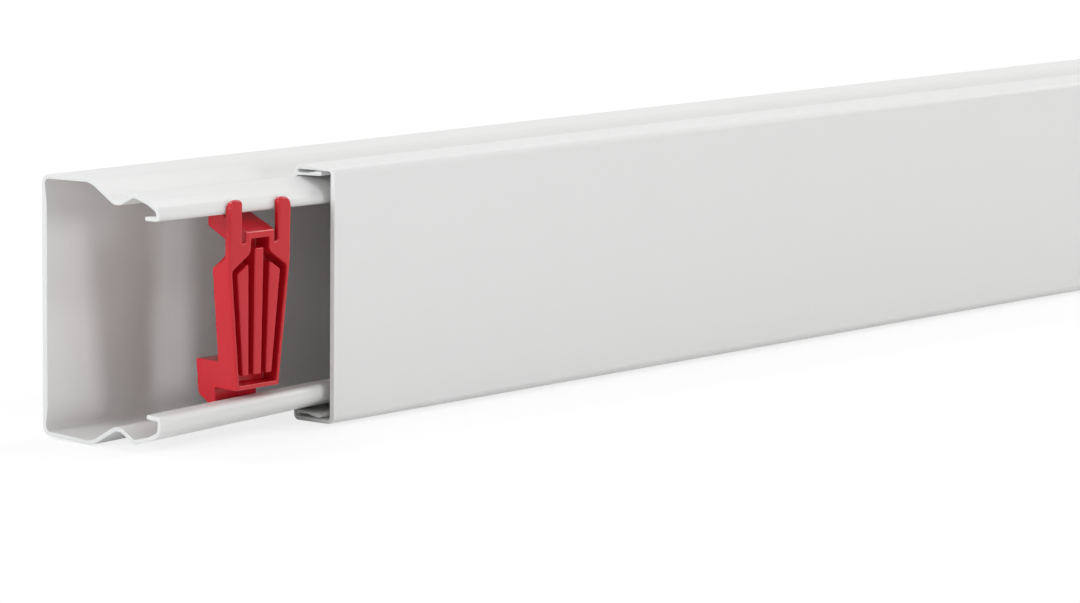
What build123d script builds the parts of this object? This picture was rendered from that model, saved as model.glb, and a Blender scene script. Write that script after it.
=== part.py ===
# Snap-lid cable trunking in rigid white plastic, 60 mm high and 40 mm deep,
# lying on its lower side with its wall face upright at the back.
#
# X runs along the duct, from the open end to the far end. -Y is the lid's
# front face, +Y the face that goes against a wall, and +Z is up. Millimetres.
# The origin is the centre of the whole part's box, at floor level.
#
# Sections are drawn in the duct's own coordinates: depth, from the wall face
# towards the lid, and height above the lower side face.

from build123d import *
from math import atan2, cos, radians, sin, tan
import os

# The duct as a whole
duct_height = 60.0  # over the two side faces
duct_depth = 40.0  # wall face to the lid's front face
duct_length = 2000.0  # stock length of the base
lid_setback = 55.0  # stretch of base left open at the near end

# Base channel
back_wall = 1.5
side_wall = 1.0
back_corner_radius = 2.1
back_step = 2.4  # where the back begins to thicken, in from the side faces
back_taper = 4.0  # run over which it reaches its full thickness
bead_front_gap = 1.8  # between the bead's front and the inside of the lid
bead_run = 8.0  # crest of the catch back from the bead's front
flank_run = 5.3  # bottom of the groove back from the crest
groove_run = 8.0  # end of the flat side back from the bottom of the groove
groove_drop = 2.55  # bottom of the groove inside the crest
brow_run = 3.4  # bend above the bead's shoulder, back from the bead's front
brow_drop = 1.5  # the same bend inside the crest
shoulder_drop = 3.3  # front shoulder of the bead inside the crest
upper_lip_drop = 6.05  # underside of the upper lip inside the crest
lower_lip_drop = 6.85  # the lower bead is the taller one
lip_reach = 4.45  # the lips' length back from the bead's front
bend_radius = 6.0  # outside bend at the end of the flat side
groove_radius = 2.6
crest_radius = 1.5
brow_radius = 4.0
shoulder_radius = 2.2
inner_radius = 0.3  # inside radius of the lips' tight bends

# The open end: the side walls spring outwards until the lid draws them in
upper_splay = 1.0  # degrees
lower_splay = 3.3  # degrees
end_lip_rise = 0.65  # the lower lip stands this much further in at the open end

# Lid
lid_wall = 1.3
flange_wall = 0.95
lid_corner_radius = 2.0
hook_gap = 0.8  # hollow between the flange and the lip folded back inside it
hook_lip = 0.65
hook_tip = 1.0  # thick end of the folded lip
hook_wall = 1.0  # the fold at the back of the hook
hook_back = 1.4  # back of the hook behind the crest
hook_reach = 7.0  # tip of the lip in front of the crest
hook_thinning = 2.7  # where the lip has reached its plain thickness
catch_depth = 0.32  # how far the hook's nose stands inside the crest
nose_flat = 0.3
nose_slope = 0.65  # run of the slope from the nose up to the lip
lip_lift = 0.25  # the lip leans this much towards the flange
tip_flat = 1.5
snap_clearance = 0.15

# Cable-retaining clip
clip_start = 21.4  # near side of the clip from the open end
clip_width = 20.6
clip_plate = 1.4  # the two prongs and the neck
clip_body = 5.3  # front to back
clip_lean = 1.2  # degrees, top towards the lid
clip_clearance = 0.15
clip_edge = 0.5  # rounding of the clip's front edges
rib_edge = 0.25  # rounding of the ribs' front edges
clip_corner = 2.0  # corners of the body at its shoulders
clip_rim = 1.1
recess_floor = 1.0
recess_shoulder = 0.6  # widest part of the recess below the body's shoulders
recess_neck = 3.2  # the recess is narrow from here up, above the shoulders
prong_width = 4.3
prong_rise = 3.65  # above the underside of the upper lip
prong_drop = 0.45  # the right prong and its slot are a little lower
prong_outer_radius = 2.3
prong_inner_radius = 1.2
slot_width = 1.25
slot_depth = 0.7  # below the bar
slot_radius = 0.5
shoulder_fall = 12.0  # corners of the body below the upper lip
back_slope_top = 2.4  # the body's back slopes in from here above the shoulders
back_slope_bottom = 0.2  # to here below them
neck_width = 6.1
bar_fall = 5.6  # underside of the bar below the upper lip
bar_height = 1.6
ramp_run = 1.6  # rounded front of the tongue's ramp
ramp_rise = 0.8
tongue_root = 0.7  # underside of the tongue below the slots
tongue_length = 12.1
tongue_rise = 5.2
tongue_end = 4.8
foot_gap = 1.7  # underside of the body above the lower lip
foot_rise = 6.4
foot_length = 12.2
foot_front = 6.9
foot_drop = 5.6
foot_chamfer = 3.8
bottom_width = 14.4
rib_width = 3.0
rib_gap = 2.0
rib_setback = 0.5  # ribs behind the rim
rib_shift = 0.3  # ribs to the right of the middle
rib_draft = 0.2  # the middle rib narrows by this on each side
rib_foot = 2.0  # foot of the ribs above the recess's lower edge
middle_rib_rise = 4.1  # above the body's shoulders
side_rib_fall = 1.4  # outer corner of the side ribs below the shoulders
side_rib_slope = 2.2

# Heights of the catch, worked inwards from the lid's flange
crest_inset = flange_wall + hook_gap + hook_lip + snap_clearance
groove_inset = crest_inset + groove_drop
brow_inset = crest_inset + brow_drop
shoulder_inset = crest_inset + shoulder_drop
upper_lip_inset = crest_inset + upper_lip_drop
lower_lip_inset = crest_inset + lower_lip_drop

# Depths of the catch, worked back from the inside of the lid
bead_front = duct_depth - lid_wall - bead_front_gap
brow_depth = bead_front - brow_run
crest_depth = bead_front - bead_run
groove_depth = crest_depth - flank_run
flat_depth = groove_depth - groove_run
lip_end = bead_front - lip_reach

# Places along the duct and above the floor
near_end = -duct_length / 2
lid_start = near_end + lid_setback
lid_length = duct_length - lid_setback
wall_face = duct_depth / 2

# The splayed end touches the floor where the lower side bends towards its
# groove, which lifts the lower side face of the closed stretch by this much
bend_start = flat_depth - bend_radius * tan(atan2(groove_inset, groove_run) / 2)
lower_turn = radians(lower_splay)
side_height = bend_start * sin(lower_turn) + bend_radius * (1 - cos(lower_turn))


def section_plane(x):
    """Upright plane across the duct: depth to the right, height upwards."""
    return Plane(origin=(x, wall_face, side_height), x_dir=(0, -1, 0), z_dir=(-1, 0, 0))


def splayed(depth, inset, splay):
    """A point of a side wall, swung outwards about the corner at the back."""
    turn = radians(splay)
    swung_depth = depth * cos(turn) + inset * sin(turn)
    swung_inset = inset * cos(turn) - depth * sin(turn)
    return swung_depth, swung_inset


def wall_points(splay, lip_inset):
    """Outside of one side wall as (depth, inset), from its bend to the lip's end."""
    corners = [
        (flat_depth, 0),
        (groove_depth, groove_inset),
        (crest_depth, crest_inset),
        (brow_depth, brow_inset),
        (bead_front, shoulder_inset),
        (bead_front, lip_inset),
        (lip_end, lip_inset),
    ]
    return [splayed(depth, inset, splay) for depth, inset in corners]


def base_section(x, upper, lower):
    """The channel's bent wall, from the upper lip round to the lower one."""
    lip_radius = side_wall + inner_radius
    bends = [bend_radius, groove_radius, crest_radius, brow_radius, shoulder_radius, lip_radius]
    upper_side = [(depth, duct_height - inset) for depth, inset in reversed(upper)]
    corners = [(0, duct_height), (0, 0)]
    radii = bends[::-1] + [back_corner_radius, back_corner_radius] + bends
    with BuildSketch(section_plane(x)) as section:
        with BuildLine():
            FilletPolyline(*upper_side, *corners, *lower, radius=radii)
            offset(amount=side_wall, side=Side.LEFT)
        make_face()
    return section.sketch


# The base: the open end is drawn splayed and runs into the straight stretch,
# and the back thickens away from the corners
with BuildPart() as base:
    upper_end = wall_points(upper_splay, upper_lip_inset)
    lower_end = wall_points(lower_splay, lower_lip_inset + end_lip_rise)
    upper_wall = wall_points(0, upper_lip_inset)
    lower_wall = wall_points(0, lower_lip_inset)
    closed_section = base_section(lid_start, upper_wall, lower_wall)
    loft([base_section(near_end, upper_end, lower_end), closed_section], ruled=True)
    extrude(closed_section, amount=-lid_length)
    with BuildSketch(section_plane(near_end)):
        with BuildLine():
            full_start = back_step + back_taper
            Polyline(
                (0, back_step),
                (side_wall, back_step),
                (back_wall, full_start),
                (back_wall, duct_height - full_start),
                (side_wall, duct_height - back_step),
                (0, duct_height - back_step),
                close=True,
            )
        make_face()
    extrude(amount=-duct_length)
base.part.label = "base"

# The lid: a flat front, two flanges, and on each a hook folded back inside it
hook_rear = crest_depth - hook_back
hook_front = crest_depth + hook_reach
nose_inset = crest_inset + catch_depth
lip_top = crest_inset - snap_clearance
tip_inset = lip_top - lip_lift
hollow_inset = flange_wall + hook_gap
hook_points = [
    ((hook_rear, 0), 1.3),
    ((hook_rear, nose_inset), 0.2),
    ((hook_rear + nose_flat, nose_inset), 0.15),
    ((hook_rear + nose_flat + nose_slope, lip_top), 0.4),
    ((hook_front, tip_inset), 0.4),
    ((hook_front, tip_inset - hook_tip), 0.3),
    ((hook_front - tip_flat, tip_inset - hook_tip), 0.5),
    ((crest_depth + hook_thinning, hollow_inset), 1.0),
    ((hook_rear + hook_wall, hollow_inset), 0.35),
    ((hook_rear + hook_wall, flange_wall), 0.35),
    ((duct_depth - lid_wall, flange_wall), 0.6),
]

with BuildPart() as lid:
    with BuildSketch(section_plane(lid_start)):
        with BuildLine():
            upper_points = [((duct_depth, 0), lid_corner_radius)] + hook_points
            upper_outline = [(depth, duct_height - inset) for (depth, inset), radius in upper_points]
            lower_outline = [point for point, radius in reversed(upper_points)]
            radii = [radius for point, radius in upper_points]
            FilletPolyline(*upper_outline, *lower_outline, radius=radii + radii[::-1], close=True)
        make_face()
    extrude(amount=-lid_length)
lid.part.label = "lid"

# The clip is drawn on its own leaning front plane, with heights from the
# lower side face, so that its prongs stand just in front of the upper bead
lean = radians(clip_lean)
lower_lip = lower_lip_inset
upper_lip = duct_height - upper_lip_inset
prong_back = bead_front + clip_clearance
clip_front = prong_back + clip_plate - upper_lip * tan(lean)
clip_centre = near_end + clip_start + clip_width / 2
clip_origin = (clip_centre, wall_face - clip_front, side_height)
clip_plane = Plane(origin=clip_origin, x_dir=(1, 0, 0), z_dir=(0, -cos(lean), -sin(lean)))
clip_side = Plane(origin=clip_origin, x_dir=clip_plane.z_dir, z_dir=(-1, 0, 0))

half_clip = clip_width / 2
half_bottom = bottom_width / 2
prong_top = upper_lip + prong_rise
shoulder_height = upper_lip - shoulder_fall
underside = lower_lip + foot_gap
bar_bottom = upper_lip - bar_fall
bar_top = bar_bottom + bar_height
slot_bottom = bar_bottom - slot_depth
tongue_bottom = slot_bottom - tongue_root
prong_inside = half_clip - prong_width
half_bar = prong_inside - slot_width
toe_height = underside - foot_drop
foot_top = underside + foot_rise
recess_depth = clip_body - recess_floor
recess_bottom = underside + clip_rim
side_slope = (half_clip - half_bottom) / (shoulder_height - underside)
slope_top = shoulder_height + back_slope_top
slope_bottom = shoulder_height - back_slope_bottom


def half_width_at(height):
    """Half the body's width where it tapers below its shoulders."""
    return half_clip - (shoulder_height - height) * side_slope


with BuildPart() as clip:
    # Front view: two prongs on a body that tapers downwards
    with BuildSketch(clip_plane):
        with BuildLine():
            right = [
                (half_width_at(toe_height), toe_height),
                (half_clip, shoulder_height),
                (half_clip, prong_top - prong_drop),
                (prong_inside, prong_top - prong_drop),
                (prong_inside, slot_bottom - prong_drop),
            ]
            left = [
                (-prong_inside, slot_bottom),
                (-prong_inside, prong_top),
                (-half_clip, prong_top),
                (-half_clip, shoulder_height),
                (-half_width_at(toe_height), toe_height),
            ]
            side_radii = [0, clip_corner, prong_outer_radius, prong_inner_radius, slot_radius]
            FilletPolyline(*right, *left, radius=side_radii + side_radii[::-1], close=True)
        make_face()
    extrude(amount=-clip_width)
    front_face = clip.faces().sort_by(Axis.Y)[0]
    fillet(front_face.edges(), radius=clip_edge)
    # Side view: a thin neck, the deeper body and the foot behind the lower lip
    with BuildSketch(clip_side.offset(-clip_width)):
        with BuildLine():
            FilletPolyline(
                (0, underside),
                (0, prong_top + clip_plate),
                (-clip_plate, prong_top + clip_plate),
                (-clip_plate, slope_top),
                (-clip_body, slope_bottom),
                (-clip_body, foot_top),
                (-foot_length, foot_top),
                (-foot_length, toe_height + foot_chamfer),
                (-foot_front, toe_height),
                (-foot_front, underside),
                radius=[0.4, 0, 0, 0, 0.3, 0.3, 0.4, 0.8, 0.4, 0.2],
                close=True,
            )
        make_face()
    extrude(amount=2 * clip_width, mode=Mode.INTERSECT)
    # Thicker back across the shoulders, which closes the recess behind
    with BuildSketch(clip_plane.offset(-clip_plate)):
        with BuildLine():
            Polyline(
                (-half_width_at(slope_bottom), slope_bottom),
                (half_width_at(slope_bottom), slope_bottom),
                (half_bar, shoulder_height + recess_neck),
                (-half_bar, shoulder_height + recess_neck),
                close=True,
            )
        make_face()
    extrude(amount=clip_plate - clip_body)
    # Sprung tongue: a bar at the front and a ramp that rises behind the upper lip
    with BuildSketch(clip_side):
        with BuildLine():
            FilletPolyline(
                (0, tongue_bottom),
                (0, bar_top),
                (-ramp_run, bar_top + ramp_rise),
                (-tongue_length, bar_top + tongue_rise),
                (-tongue_length, bar_top + tongue_rise - tongue_end),
                (-clip_body, tongue_bottom),
                (-clip_body, slope_bottom),
                (-clip_plate, slope_bottom),
                (-clip_plate, tongue_bottom),
                radius=[0, 0.6, 1.0, 0.4, 0.3, 1.0, 0, 0, 0],
                close=True,
            )
        make_face()
    extrude(amount=half_bar, both=True)
    # Recess in the front, narrow under the bar and wide below the shoulders
    with BuildSketch(clip_plane):
        with BuildLine():
            right = [
                (half_width_at(recess_bottom) - clip_rim, recess_bottom),
                (half_clip - clip_rim, shoulder_height - recess_shoulder),
                (neck_width / 2, shoulder_height + recess_neck),
                (neck_width / 2, bar_bottom),
            ]
            right_radii = [0.5, 1.2, 2.0, 0]
            left = [(-across, height) for across, height in reversed(right)]
            FilletPolyline(*right, *left, radius=right_radii + right_radii[::-1], close=True)
        make_face()
    extrude(amount=-recess_depth, mode=Mode.SUBTRACT)
    # Three upright ribs on the floor of the recess
    rib_bottom = recess_bottom + rib_foot
    rib_top = shoulder_height - side_rib_fall
    half_rib = rib_width / 2
    rib_inside = half_rib + rib_gap
    rib_outside = half_clip - clip_rim - rib_gap
    low_outside = half_width_at(rib_bottom) - clip_rim - rib_gap + 2 * rib_draft
    with BuildSketch(clip_plane.offset(-recess_depth)):
        with BuildLine():
            FilletPolyline(
                (rib_shift - half_rib, shoulder_height + middle_rib_rise),
                (rib_shift + half_rib, shoulder_height + middle_rib_rise),
                (rib_shift + half_rib - rib_draft, rib_bottom),
                (rib_shift - half_rib + rib_draft, rib_bottom),
                radius=0.3,
                close=True,
            )
        make_face()
        for side in (-1, 1):
            with BuildLine():
                FilletPolyline(
                    (rib_shift + side * rib_inside, rib_top + side_rib_slope),
                    (rib_shift + side * rib_outside, rib_top),
                    (rib_shift + side * low_outside, rib_bottom),
                    (rib_shift + side * (rib_inside - 3 * rib_draft), rib_bottom),
                    radius=0.3,
                    close=True,
                )
            make_face()
    extrude(amount=recess_depth - rib_setback)
    new_faces = [face for face in clip.faces(Select.LAST) if face.normal_at().dot(clip_plane.z_dir) > 0.999]
    rib_fronts = sorted(new_faces, key=lambda face: clip_plane.to_local_coords(face.center()).Z)[-3:]
    fillet([edge for face in rib_fronts for edge in face.edges()], radius=rib_edge)
clip.part.label = "cable_clip"

os.makedirs("parts", exist_ok=True)
export_step(base.part, "parts/base.step")
export_step(lid.part, "parts/lid.step")
export_step(clip.part, "parts/cable_clip.step")
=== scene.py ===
from math import cos, degrees, radians, sin, tan

import bmesh
import bpy
from mathutils import Matrix, Vector


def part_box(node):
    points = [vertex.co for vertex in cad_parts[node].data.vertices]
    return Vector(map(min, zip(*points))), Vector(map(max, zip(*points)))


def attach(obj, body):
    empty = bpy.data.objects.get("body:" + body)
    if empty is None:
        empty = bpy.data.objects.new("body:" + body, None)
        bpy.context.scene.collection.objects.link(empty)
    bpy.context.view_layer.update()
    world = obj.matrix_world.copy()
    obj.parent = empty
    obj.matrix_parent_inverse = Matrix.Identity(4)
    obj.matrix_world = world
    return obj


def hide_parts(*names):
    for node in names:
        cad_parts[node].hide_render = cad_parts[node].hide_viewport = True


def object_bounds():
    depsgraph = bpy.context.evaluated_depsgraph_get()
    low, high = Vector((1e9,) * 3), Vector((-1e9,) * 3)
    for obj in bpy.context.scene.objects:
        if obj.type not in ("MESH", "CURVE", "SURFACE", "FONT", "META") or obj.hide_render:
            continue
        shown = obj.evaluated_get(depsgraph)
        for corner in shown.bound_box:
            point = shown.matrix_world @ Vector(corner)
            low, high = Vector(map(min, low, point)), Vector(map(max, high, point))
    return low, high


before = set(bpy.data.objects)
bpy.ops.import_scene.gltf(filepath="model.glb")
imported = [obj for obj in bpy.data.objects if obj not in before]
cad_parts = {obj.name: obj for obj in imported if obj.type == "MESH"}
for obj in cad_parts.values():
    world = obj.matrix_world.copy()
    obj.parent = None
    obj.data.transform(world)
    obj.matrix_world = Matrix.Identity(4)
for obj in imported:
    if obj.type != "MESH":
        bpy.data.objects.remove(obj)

# Snap-lid cable trunking: a white channel, a white lid set back from its cut end
# and a red clip. X runs along the duct, +Y is the wall side and Z is up.
cadLow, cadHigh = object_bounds()
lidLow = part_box("lid")[0]
mm = 0.001
nearEnd, lidStart, farEnd = cadLow.x, lidLow.x, cadHigh.x
wallFace, lowerFace = cadHigh.y, lidLow.z
ductHeight = 60.0  # mm
tolerance = 1e-6  # m, within which two places are the same
plainWhite = (1, 1, 1, 1)


def sectionPlace(x, depth, height):
    # depth from the wall face and height above the lower side face, in mm
    return Vector((x, wallFace - depth * mm, lowerFace + height * mm))


# The camera was fitted to the edges of the duct in the photo.
camera = {
    # mm from the open end, from the wall face and above the lower side face
    "place": (-771.413, 780.668, 183.073),
    "turnFromY": 0.8830,  # radians, from +Y towards +X
    "tiltDown": 0.1377,  # radians
    "roll": 0.0096,  # radians
    "focalPixels": 4834.857,
    "imageWidth": 1080,  # pixels
    "sensorWidth": 36.0,  # mm
    "clipRange": (0.05, 50.0),  # m
}


def makeCamera(setup):
    turn, tilt, roll = setup["turnFromY"], setup["tiltDown"], setup["roll"]
    up = Vector((0, 0, 1))
    forward = Vector((sin(turn), cos(turn), 0))
    right = Vector((cos(turn), -sin(turn), 0))
    look = cos(tilt) * forward - sin(tilt) * up
    above = sin(tilt) * forward + cos(tilt) * up
    across = cos(roll) * right + sin(roll) * above
    above = -sin(roll) * right + cos(roll) * above
    data = bpy.data.cameras.new("camera")
    data.sensor_width = setup["sensorWidth"]
    data.lens = setup["focalPixels"] / setup["imageWidth"] * setup["sensorWidth"]
    data.clip_start, data.clip_end = setup["clipRange"]
    made = bpy.data.objects.new("camera", data)
    along, depth, height = setup["place"]
    place = sectionPlace(nearEnd + along * mm, depth, height)
    facing = Matrix((across, above, -look)).transposed().to_4x4()
    made.matrix_world = Matrix.Translation(place) @ facing
    bpy.context.scene.collection.objects.link(made)
    bpy.context.scene.camera = made


makeCamera(camera)
bpy.context.scene.view_settings.view_transform = "Standard"
print("camera ready")

# What the pieces are shaped with in edit mode.
bends = {
    "degreesPerRow": 8,
    "fewestRows": 3,
    "profile": 0.5,  # round
    "sharpAngle": 60,  # degrees between two faces, over which their edge is rounded
}


def selectVertices(piece, wanted):
    # leaves exactly the vertices that wanted() picks selected
    bm = bmesh.from_edit_mesh(piece.data)
    bm.select_mode = {"VERT"}
    for vertex in bm.verts:
        vertex.select_set(False)
    for vertex in bm.verts:
        if wanted(vertex.co):
            vertex.select_set(True)
    bm.select_flush_mode()
    bmesh.update_edit_mesh(piece.data)


def selectEdges(piece, wanted):
    # the same for edges
    bpy.ops.mesh.select_mode(type="EDGE")
    bm = bmesh.from_edit_mesh(piece.data)
    for edge in bm.edges:
        edge.select_set(False)
    for edge in bm.edges:
        if wanted(edge):
            edge.select_set(True)
    bm.select_flush_mode()
    bmesh.update_edit_mesh(piece.data)


def isSharp(edge):
    return (len(edge.link_faces) == 2
            and edge.calc_face_angle() > radians(bends["sharpAngle"]))


def roundSelected(width, rows, kind):
    bpy.ops.mesh.bevel(
        affect=kind, offset_type="OFFSET", offset=width * mm, segments=rows,
        profile=bends["profile"], clamp_overlap=False)


def drawOutline(name, x, corners, closed):
    # corners are (depth, height, radius) in mm: a wire through them, its corners rounded
    places = [sectionPlace(x, depth, height) for depth, height, radius in corners]
    bpy.ops.object.select_all(action="DESELECT")
    bpy.ops.mesh.primitive_plane_add(size=mm, location=places[0])
    piece = bpy.context.active_object
    piece.name = piece.data.name = name
    bpy.ops.object.transform_apply(location=True, rotation=True, scale=True)
    bpy.ops.object.mode_set(mode="EDIT")
    bpy.ops.mesh.select_mode(type="VERT")
    bpy.ops.mesh.merge(type="CENTER")
    for here, there in zip(places, places[1:]):
        bpy.ops.mesh.extrude_vertices_move(TRANSFORM_OT_translate={"value": there - here})
    if closed:
        selectVertices(piece, lambda co: min(
            (co - places[0]).length, (co - places[-1]).length) < tolerance)
        bpy.ops.mesh.edge_face_add()
    for index, (depth, height, radius) in enumerate(corners):
        if radius == 0:
            continue
        corner = places[index]
        before = (corner - places[index - 1]).normalized()
        after = (places[(index + 1) % len(places)] - corner).normalized()
        turn = before.angle(after)
        rows = max(bends["fewestRows"], round(degrees(turn) / bends["degreesPerRow"]))
        selectVertices(piece, lambda co: (co - corner).length < tolerance)
        roundSelected(radius * tan(turn / 2), rows, "VERTICES")
    return piece


def drawAlong(distance):
    bpy.ops.mesh.extrude_region_move(TRANSFORM_OT_translate={"value": (distance, 0, 0)})


def softenEnds(piece, ends, shape):
    # breaks the edges round the cut ends
    selectEdges(piece, lambda edge: any(
        all(abs(vertex.co.x - end) < tolerance for vertex in edge.verts) for end in ends
    ) and isSharp(edge))
    roundSelected(shape["cutRounding"], shape["cutRows"], "EDGES")


def finishPiece(piece, material, smoothAngle, node):
    bpy.ops.mesh.select_mode(type="VERT")
    bpy.ops.mesh.select_all(action="DESELECT")
    bpy.ops.object.mode_set(mode="OBJECT")
    bpy.ops.object.select_all(action="DESELECT")
    piece.select_set(True)
    bpy.context.view_layer.objects.active = piece
    bpy.ops.object.shade_smooth_by_angle(angle=radians(smoothAngle))
    piece.data.materials.clear()
    piece.data.materials.append(material)
    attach(piece, "root")
    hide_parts(node)
    print(piece.name, len(piece.data.vertices), "vertices")


# Shader node groups: the first is in both plastics, the second in the white one.
surfaceDetail = {
    "cloudDetail": 3.0,
    "cloudRoughness": 0.55,
    "cloudMiddle": 0.5,
    "lineScale": (1.5, 700.0, 700.0),  # squeezed almost flat along the duct
    "lineDetail": 2.0,
    "grainDetail": 2.0,
}

sawMarks = {
    "squareFrom": 0.8,  # how far a normal points along X where the mask starts
    "squareFull": 0.95,
    "slant": 0.5,  # radians
    "stretch": (1, 0.15, 1),
    "detail": 3.0,
}

colorA, colorB, colorOut = 6, 7, 2  # a Mix node's colour sockets, which share their names


def addNode(tree, kind, values=(), links=(), **settings):
    # values and links go to the node's inputs, by name or number
    node = tree.nodes.new(kind)
    for name, value in settings.items():
        setattr(node, name, value)
    for name, value in values:
        node.inputs[name].default_value = value
    for name, socket in links:
        tree.links.new(socket, node.inputs[name])
    return node


def addMath(tree, operation, *terms):
    # terms are sockets or plain numbers
    node = tree.nodes.new("ShaderNodeMath")
    node.operation = operation
    for index, term in enumerate(terms):
        if isinstance(term, (int, float)):
            node.inputs[index].default_value = term
        else:
            tree.links.new(term, node.inputs[index])
    return node.outputs[0]


def makeGroup(name, inputs, outputs):
    tree = bpy.data.node_groups.new(name, "ShaderNodeTree")
    for label, kind, value in inputs:
        socket = tree.interface.new_socket(label, in_out="INPUT", socket_type=kind)
        socket.default_value = value
    for label, kind in outputs:
        tree.interface.new_socket(label, in_out="OUTPUT", socket_type=kind)
    given = tree.nodes.new("NodeGroupInput").outputs
    return tree, given, tree.nodes.new("NodeGroupOutput").inputs


def mouldedSurface(detail):
    # cloudy colour, uneven gloss, a fine grain and faint lines along X from the die
    tree, given, result = makeGroup(
        "mouldedSurface",
        [
            ("Color", "NodeSocketColor", (0.8, 0.8, 0.8, 1)),
            ("Cloud Color", "NodeSocketColor", (0.7, 0.7, 0.7, 1)),
            ("Cloud Scale", "NodeSocketFloat", 30.0),
            ("Cloud Amount", "NodeSocketFloat", 0.2),
            ("Roughness", "NodeSocketFloat", 0.4),
            ("Roughness Spread", "NodeSocketFloat", 0.1),
            ("Grain Scale", "NodeSocketFloat", 2500.0),
            ("Line Amount", "NodeSocketFloat", 0.5),
        ],
        [
            ("Color", "NodeSocketColor"),
            ("Roughness", "NodeSocketFloat"),
            ("Height", "NodeSocketFloat"),
        ],
    )
    place = addNode(tree, "ShaderNodeTexCoord").outputs["Object"]
    cloud = addNode(
        tree, "ShaderNodeTexNoise",
        [("Detail", detail["cloudDetail"]), ("Roughness", detail["cloudRoughness"])],
        [("Vector", place), ("Scale", given["Cloud Scale"])]).outputs["Fac"]
    share = addMath(tree, "MULTIPLY", cloud, given["Cloud Amount"])
    mixed = addNode(
        tree, "ShaderNodeMix", [],
        [("Factor", share), (colorA, given["Color"]), (colorB, given["Cloud Color"])],
        data_type="RGBA")
    tree.links.new(mixed.outputs[colorOut], result["Color"])
    squeezed = addNode(
        tree, "ShaderNodeMapping", [("Scale", detail["lineScale"])], [("Vector", place)])
    lines = addNode(
        tree, "ShaderNodeTexNoise", [("Scale", 1.0), ("Detail", detail["lineDetail"])],
        [("Vector", squeezed.outputs[0])]).outputs["Fac"]
    grain = addNode(
        tree, "ShaderNodeTexNoise", [("Detail", detail["grainDetail"])],
        [("Vector", place), ("Scale", given["Grain Scale"])]).outputs["Fac"]
    lineHeight = addMath(tree, "MULTIPLY", lines, given["Line Amount"])
    tree.links.new(addMath(tree, "ADD", lineHeight, grain), result["Height"])
    centred = addMath(tree, "SUBTRACT", cloud, detail["cloudMiddle"])
    uneven = addMath(
        tree, "MULTIPLY_ADD", centred, given["Roughness Spread"], given["Roughness"])
    tree.links.new(uneven, result["Roughness"])
    return tree


def sawnEnd(marks):
    # a mask that is 1 on faces cut square across the duct, with fine saw marks
    tree, given, result = makeGroup(
        "sawnEnd",
        [("Saw Scale", "NodeSocketFloat", 900.0)],
        [("Mask", "NodeSocketFloat"), ("Height", "NodeSocketFloat")],
    )
    normal = addNode(tree, "ShaderNodeNewGeometry").outputs["Normal"]
    parts = addNode(tree, "ShaderNodeSeparateXYZ", [], [(0, normal)])
    mask = addNode(
        tree, "ShaderNodeMapRange",
        [("From Min", marks["squareFrom"]), ("From Max", marks["squareFull"])],
        [("Value", addMath(tree, "ABSOLUTE", parts.outputs["X"]))]).outputs[0]
    tree.links.new(mask, result["Mask"])
    place = addNode(tree, "ShaderNodeTexCoord").outputs["Object"]
    slanted = addNode(
        tree, "ShaderNodeMapping",
        [("Rotation", (marks["slant"], 0, 0)), ("Scale", marks["stretch"])],
        [("Vector", place)])
    lines = addNode(
        tree, "ShaderNodeTexNoise", [("Detail", marks["detail"])],
        [("Vector", slanted.outputs[0]), ("Scale", given["Saw Scale"])]).outputs["Fac"]
    tree.links.new(addMath(tree, "MULTIPLY", lines, mask), result["Height"])
    return tree


surfaceGroup = mouldedSurface(surfaceDetail)
sawnGroup = sawnEnd(sawMarks)

# The two plastics.
whitePlastic = {
    "color": (0.72, 0.718, 0.708, 1),
    "cloudColor": (0.69, 0.688, 0.678, 1),
    "cloudScale": 25.0,
    "cloudAmount": 0.35,
    "roughness": 0.42,
    "roughnessSpread": 0.10,
    "grainScale": 2600.0,
    "lineAmount": 0.9,
    "bumpStrength": 0.10,
    "bumpDistance": 0.02,  # mm
    "specular": 0.5,
    "sawnColor": (0.66, 0.66, 0.65, 1),
    "sawnDepth": 3.0,  # times the grain's
}

redPlastic = {
    "color": (0.53, 0.010, 0.020, 1),
    "cloudColor": (0.45, 0.008, 0.016, 1),
    "cloudScale": 120.0,
    "cloudAmount": 0.35,
    "roughness": 0.20,
    "roughnessSpread": 0.08,
    "grainScale": 3200.0,
    "lineAmount": 0.0,
    "bumpStrength": 0.10,
    "bumpDistance": 0.02,  # mm
    "specular": 0.34,
}

surfaceInputs = {
    "Color": "color",
    "Cloud Color": "cloudColor",
    "Cloud Scale": "cloudScale",
    "Cloud Amount": "cloudAmount",
    "Roughness": "roughness",
    "Roughness Spread": "roughnessSpread",
    "Grain Scale": "grainScale",
    "Line Amount": "lineAmount",
}


def plasticMaterial(name, look, sawn):
    material = bpy.data.materials.new(name)
    material.use_nodes = True
    tree = material.node_tree
    shader = tree.nodes["Principled BSDF"]
    surface = addNode(tree, "ShaderNodeGroup", node_tree=surfaceGroup)
    for label, key in surfaceInputs.items():
        surface.inputs[label].default_value = look[key]
    color, height = surface.outputs["Color"], surface.outputs["Height"]
    if sawn:
        end = addNode(tree, "ShaderNodeGroup", node_tree=sawnGroup)
        mixed = addNode(
            tree, "ShaderNodeMix", [(colorB, look["sawnColor"])],
            [("Factor", end.outputs["Mask"]), (colorA, color)], data_type="RGBA")
        color = mixed.outputs[colorOut]
        height = addMath(
            tree, "MULTIPLY_ADD", end.outputs["Height"], look["sawnDepth"], height)
    bump = addNode(
        tree, "ShaderNodeBump",
        [("Strength", look["bumpStrength"]), ("Distance", look["bumpDistance"] * mm)],
        [("Height", height)])
    shader.inputs["Specular IOR Level"].default_value = look["specular"]
    tree.links.new(color, shader.inputs["Base Color"])
    tree.links.new(surface.outputs["Roughness"], shader.inputs["Roughness"])
    tree.links.new(bump.outputs["Normal"], shader.inputs["Normal"])
    return material


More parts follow.
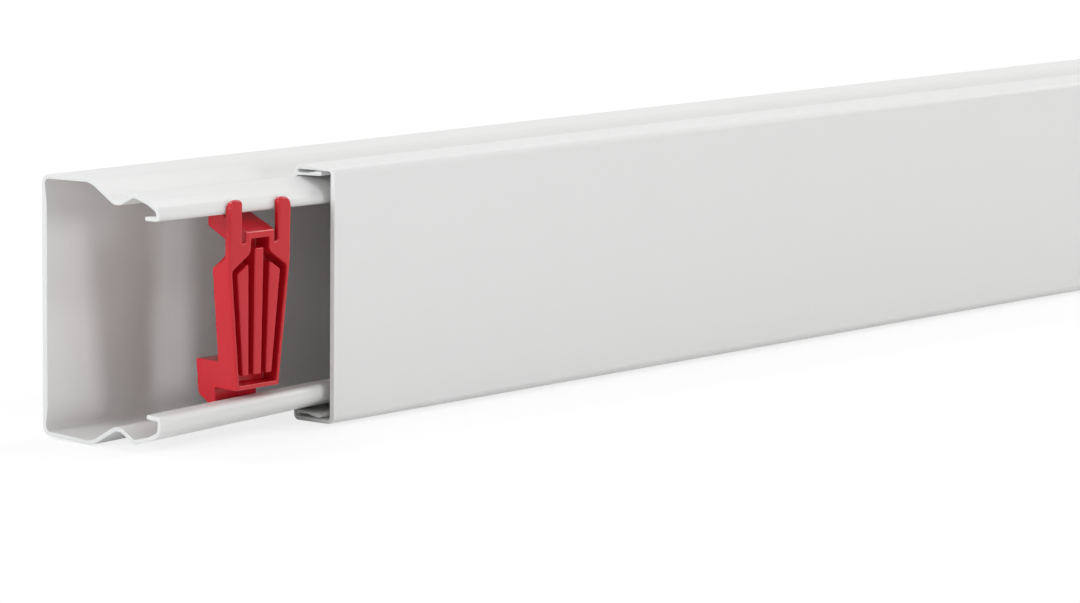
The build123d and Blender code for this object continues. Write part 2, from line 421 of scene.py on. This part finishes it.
whiteMaterial = plasticMaterial("whitePlastic", whitePlastic, True)
redMaterial = plasticMaterial("redPlastic", redPlastic, False)
print("materials ready")

# The base: one outline of its outside, drawn out along X and splayed at the near end.
baseShape = {
    "wall": 1.0,
    "backWall": 1.5,
    "backCornerRadius": 2.1,
    "backTaperEnd": 6.4,  # in from the side face, where the back is fully thick
    # outside of one side wall: depth, distance in from the side face, radius
    "sideWall": [
        (15.6, 0.0, 6.0),
        (23.6, 5.10, 2.6),
        (28.9, 2.55, 1.5),
        (33.5, 4.05, 4.0),
        (36.9, 5.85, 2.2),
    ],
    "beadFront": 36.9,
    "lipEnd": 32.45,
    "upperLip": 8.60,  # underside of the lip, in from the side face
    "lowerLip": 9.40,
    "lowerLipRise": 0.65,  # the lower lip stands this much further in at the open end
    "lipBend": 1.3,
    "upperSplay": 1.0,  # degrees
    "lowerSplay": 3.3,  # degrees
    "rimReach": 0.5,  # how far from the cut the thickened rim may stray
    "lipRounding": 0.3,
    "lipRows": 3,
    "cutRounding": 0.08,
    "cutRows": 2,
    "smoothAngle": 28,  # degrees
}


def wallOutline(shape, lip):
    bead = [(shape["beadFront"], lip, shape["lipBend"]), (shape["lipEnd"], lip, 0.0)]
    return shape["sideWall"] + bead


def splayEnd(piece, shape):
    # at the open end the lower lip stands higher and both sides swing out about the back corners
    rise = shape["lowerLipRise"] * mm
    lowest = lowerFace + (shape["lowerLip"] - shape["lipBend"]) * mm - tolerance
    middle = lowerFace + ductHeight / 2 * mm
    front = wallFace - shape["lipEnd"] * mm + tolerance
    selectVertices(piece, lambda co: (
        abs(co.x - nearEnd) < tolerance and lowest < co.z < middle and co.y < front))
    bpy.ops.transform.translate(value=(0, 0, rise))
    for side, splay, height in [(1, shape["upperSplay"], ductHeight), (-1, shape["lowerSplay"], 0)]:
        selectVertices(piece, lambda co: (
            abs(co.x - nearEnd) < tolerance and (co.z - middle) * side > 0
            and co.y < wallFace - tolerance))
        bpy.ops.transform.rotate(
            value=radians(splay) * side, orient_axis="X",
            center_override=sectionPlace(nearEnd, 0, height))


def thickenBase(piece, shape):
    bpy.ops.mesh.select_all(action="SELECT")
    bpy.ops.mesh.normals_make_consistent(inside=False)
    bpy.ops.object.mode_set(mode="OBJECT")
    back = max(piece.data.polygons, key=lambda face: face.center.y)
    if back.normal.y < 0:
        piece.data.flip_normals()
    # the back is thicker than the sides
    group = piece.vertex_groups.new(name="thickness")
    middle = lowerFace + ductHeight / 2 * mm
    reach = (ductHeight / 2 - shape["backTaperEnd"]) * mm + tolerance
    everything = [vertex.index for vertex in piece.data.vertices]
    thick = [vertex.index for vertex in piece.data.vertices
             if vertex.co.y > wallFace - tolerance and abs(vertex.co.z - middle) < reach]
    group.add(everything, shape["wall"] / shape["backWall"], "REPLACE")
    group.add(thick, 1.0, "REPLACE")
    solid = piece.modifiers.new("wall", "SOLIDIFY")
    solid.thickness = shape["backWall"] * mm
    solid.offset = -1
    solid.use_even_offset = True
    solid.vertex_group = group.name
    bpy.ops.object.modifier_apply(modifier=solid.name)
    piece.vertex_groups.clear()
    bpy.ops.object.mode_set(mode="EDIT")


def makeBase(shape):
    corner, taper = shape["backCornerRadius"], shape["backTaperEnd"]
    upperWall = [(depth, ductHeight - inset, radius)
                 for depth, inset, radius in reversed(wallOutline(shape, shape["upperLip"]))]
    back = [
        (0.0, ductHeight, corner),
        (0.0, ductHeight - taper, 0.0),
        (0.0, taper, 0.0),
        (0.0, 0.0, corner),
    ]
    outline = upperWall + back + wallOutline(shape, shape["lowerLip"])
    piece = drawOutline("channel", lidStart, outline, False)
    bpy.ops.mesh.select_all(action="SELECT")
    drawAlong(farEnd - lidStart)
    selectVertices(piece, lambda co: abs(co.x - lidStart) < tolerance)
    drawAlong(nearEnd - lidStart)
    splayEnd(piece, shape)
    thickenBase(piece, shape)
    # the thickened rim is brought back into the plane of the cut
    reach = shape["rimReach"] * mm
    selectVertices(piece, lambda co: abs(co.x - nearEnd) < reach)
    bpy.ops.transform.resize(value=(0, 1, 1), center_override=(nearEnd, 0, 0))
    # the lips are rounded along their length
    selectEdges(piece, lambda edge: (
        abs(edge.verts[0].co.x - edge.verts[1].co.x) > reach and isSharp(edge)))
    roundSelected(shape["lipRounding"], shape["lipRows"], "EDGES")
    softenEnds(piece, (nearEnd, farEnd), shape)
    return piece


base = makeBase(baseShape)
finishPiece(base, whiteMaterial, baseShape["smoothAngle"], "base")

# The lid: a closed outline with a hook folded back inside each flange.
lidShape = {
    # upper half of the outline: depth, distance in from the side face, radius
    "half": [
        (40.0, 0.0, 2.0),
        (27.5, 0.0, 1.3),
        (27.5, 2.87, 0.2),
        (27.8, 2.87, 0.15),
        (28.45, 2.40, 0.4),
        (35.9, 2.15, 0.4),
        (35.9, 1.15, 0.3),
        (34.4, 1.15, 0.5),
        (31.6, 1.75, 1.0),
        (28.5, 1.75, 0.35),
        (28.5, 0.95, 0.35),
        (38.7, 0.95, 0.6),
    ],
    "cutRounding": 0.08,
    "cutRows": 2,
    "smoothAngle": 28,  # degrees
}


def makeLid(shape):
    upper = [(depth, ductHeight - inset, radius) for depth, inset, radius in shape["half"]]
    piece = drawOutline("cover", lidStart, upper + shape["half"][::-1], True)
    bpy.ops.mesh.select_all(action="SELECT")
    bpy.ops.mesh.edge_face_add()
    drawAlong(farEnd - lidStart)
    bpy.ops.mesh.select_all(action="SELECT")
    bpy.ops.mesh.normals_make_consistent(inside=False)
    softenEnds(piece, (lidStart, farEnd), shape)
    return piece


lid = makeLid(lidShape)
finishPiece(lid, whiteMaterial, lidShape["smoothAngle"], "lid")

# The clip: a copy of the CAD solid with the soft edges of a moulding.
clipShape = {
    "mergeDistance": 0.002,  # mm
    "voxel": 0.16,  # mm
    "smoothing": 0.5,
    "passes": 9,
    "kept": 0.30,  # share of the faces that is kept
    "smoothAngle": 75,  # degrees
}


def makeClip(shape):
    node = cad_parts["cable_clip"]
    piece = bpy.data.objects.new("retainer", node.data.copy())
    bpy.context.scene.collection.objects.link(piece)
    bpy.ops.object.select_all(action="DESELECT")
    piece.select_set(True)
    bpy.context.view_layer.objects.active = piece
    bpy.ops.object.mode_set(mode="EDIT")
    bpy.ops.mesh.select_all(action="SELECT")
    bpy.ops.mesh.remove_doubles(threshold=shape["mergeDistance"] * mm)
    bpy.ops.object.mode_set(mode="OBJECT")
    remesh = piece.modifiers.new("remesh", "REMESH")
    remesh.mode = "VOXEL"
    remesh.voxel_size = shape["voxel"] * mm
    smooth = piece.modifiers.new("smooth", "SMOOTH")
    smooth.factor, smooth.iterations = shape["smoothing"], shape["passes"]
    fewer = piece.modifiers.new("fewer", "DECIMATE")
    fewer.ratio = shape["kept"]
    for name in ("remesh", "smooth", "fewer"):
        bpy.ops.object.modifier_apply(modifier=name)
    bpy.ops.object.mode_set(mode="EDIT")
    return piece


clip = makeClip(clipShape)
finishPiece(clip, redMaterial, clipShape["smoothAngle"], "cable_clip")

# Floor, background and light.
stage = {
    "floorSize": 10.0,  # m
    "floorColor": (0.86, 0.86, 0.86, 1),
    "floorRoughness": 0.9,
    "shadowKept": 0.25,  # how much of the floor's own light the camera sees
    "whiteLevel": 1.06,
    "skyLevel": 1.0,  # of the background that the camera sees
    "worldStrength": 0.20,
    "lampDistance": 6.0,  # m
    "lampAim": (25.0, 20.0, 30.0),  # mm along from the open end, depth, height
}

lamps = {
    # degrees from the front towards the far end, degrees up, width in m, watts, colour
    "front": (11, 6, 1.05, 63.0, (0.95, 0.98, 1)),
    "frontHigh": (9, 34, 1.05, 35.0, (0.95, 0.98, 1)),
    "upperLeft": (-32, 46, 2.1, 26.0, (1, 1, 1)),
    "leftEnd": (-91, 14, 2.1, 128.0, (0.95, 0.98, 1)),
    "leftBehind": (-110, 18, 2.1, 125.0, (0.95, 0.98, 1)),
    "right": (60, 26, 2.1, 110.0, (1, 0.98, 0.95)),
    "farRight": (90, 60, 2.1, 54.0, (1, 1, 1)),
    "aboveBehind": (180, 60, 2.1, 112.0, (1, 1, 1)),
}


def seenRays(tree):
    # 1 for what the camera sees, straight, mirrored or through glass
    paths = addNode(tree, "ShaderNodeLightPath").outputs
    seen = addMath(tree, "MAXIMUM", paths["Is Camera Ray"], paths["Is Glossy Ray"])
    return addMath(tree, "MAXIMUM", seen, paths["Is Transmission Ray"])


def makeFloor(setup):
    bpy.ops.object.select_all(action="DESELECT")
    bpy.ops.mesh.primitive_plane_add(size=setup["floorSize"], location=(0, 0, 0))
    floor = bpy.context.active_object
    floor.name = "floor"
    material = bpy.data.materials.new("paleFloor")
    material.use_nodes = True
    tree = material.node_tree
    shader = tree.nodes["Principled BSDF"]
    shader.inputs["Base Color"].default_value = setup["floorColor"]
    shader.inputs["Roughness"].default_value = setup["floorRoughness"]
    white = addNode(
        tree, "ShaderNodeEmission", [("Color", plainWhite), ("Strength", setup["whiteLevel"])])
    share = addMath(tree, "MULTIPLY", seenRays(tree), 1 - setup["shadowKept"])
    both = addNode(
        tree, "ShaderNodeMixShader", [],
        [(0, share), (1, shader.outputs[0]), (2, white.outputs[0])])
    tree.links.new(both.outputs[0], tree.nodes["Material Output"].inputs["Surface"])
    floor.data.materials.append(material)


def makeWorld(setup):
    world = bpy.data.worlds.new("studio")
    bpy.context.scene.world = world
    world.use_nodes = True
    tree = world.node_tree
    soft = tree.nodes["Background"]
    soft.inputs["Color"].default_value = plainWhite
    soft.inputs["Strength"].default_value = setup["worldStrength"]
    bright = addNode(
        tree, "ShaderNodeBackground", [("Color", plainWhite), ("Strength", setup["skyLevel"])])
    both = addNode(
        tree, "ShaderNodeMixShader", [],
        [(0, seenRays(tree)), (1, soft.outputs[0]), (2, bright.outputs[0])])
    tree.links.new(both.outputs[0], tree.nodes["World Output"].inputs["Surface"])


def makeLamp(setup, name, azimuth, elevation, width, watts, color):
    data = bpy.data.lights.new(name, "AREA")
    data.shape = "SQUARE"
    data.size, data.energy, data.color = width, watts, color
    along, depth, height = setup["lampAim"]
    aim = sectionPlace(nearEnd + along * mm, depth, height)
    around, up = radians(azimuth), radians(elevation)
    away = Vector((sin(around) * cos(up), -cos(around) * cos(up), sin(up)))
    lamp = bpy.data.objects.new(name, data)
    lamp.location = aim + away * setup["lampDistance"]
    lamp.rotation_euler = (-away).to_track_quat("-Z", "Y").to_euler()
    bpy.context.scene.collection.objects.link(lamp)


makeFloor(stage)
makeWorld(stage)
for lampName, setting in lamps.items():
    makeLamp(stage, lampName, *setting)
print("stage and light ready")
